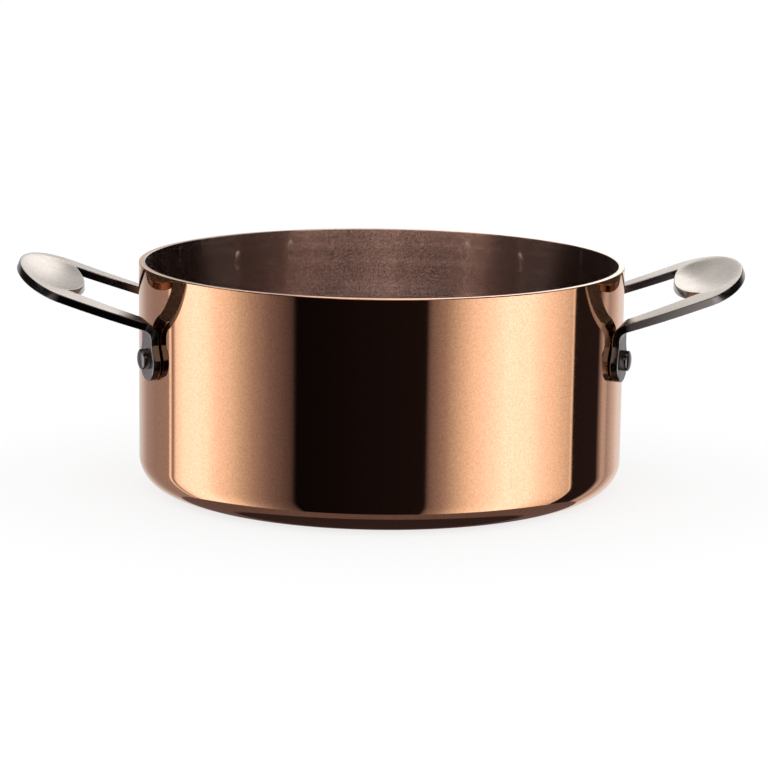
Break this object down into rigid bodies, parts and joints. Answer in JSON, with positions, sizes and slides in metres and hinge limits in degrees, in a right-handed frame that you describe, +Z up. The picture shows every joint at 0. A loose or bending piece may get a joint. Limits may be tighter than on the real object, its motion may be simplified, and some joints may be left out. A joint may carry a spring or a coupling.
{
  "type": "casserole pan",
  "caption": "Round straight-walled copper casserole pan with a bonded steel lining and a pair of riveted steel plate handles, each with a finger slot and a pressed thumb dish.",
  "frame": {"origin": "centre of the flat underside, on the surface that the pan stands on", "axes": "+X through the two handles, towards the right handle; +Z up, out of the mouth; -Y is the front"},
  "size_m": [0.359, 0.24, 0.1118],
  "materials": {
    "polished_copper": "mirror-polished copper, slightly grained",
    "lining_steel": "polished stainless steel",
    "handle_steel": "satin faces with polished edges",
    "rivet_steel": "turned stainless steel"
  },
  "bodies": {
    "root": {"copper_shell": "polished_copper", "steel_lining": "lining_steel", "handle_left": "handle_steel", "handle_right": "handle_steel", "rivet_left_front": "rivet_steel", "rivet_left_back": "rivet_steel", "rivet_right_front": "rivet_steel", "rivet_right_back": "rivet_steel"}
  },
  "joints": []
}
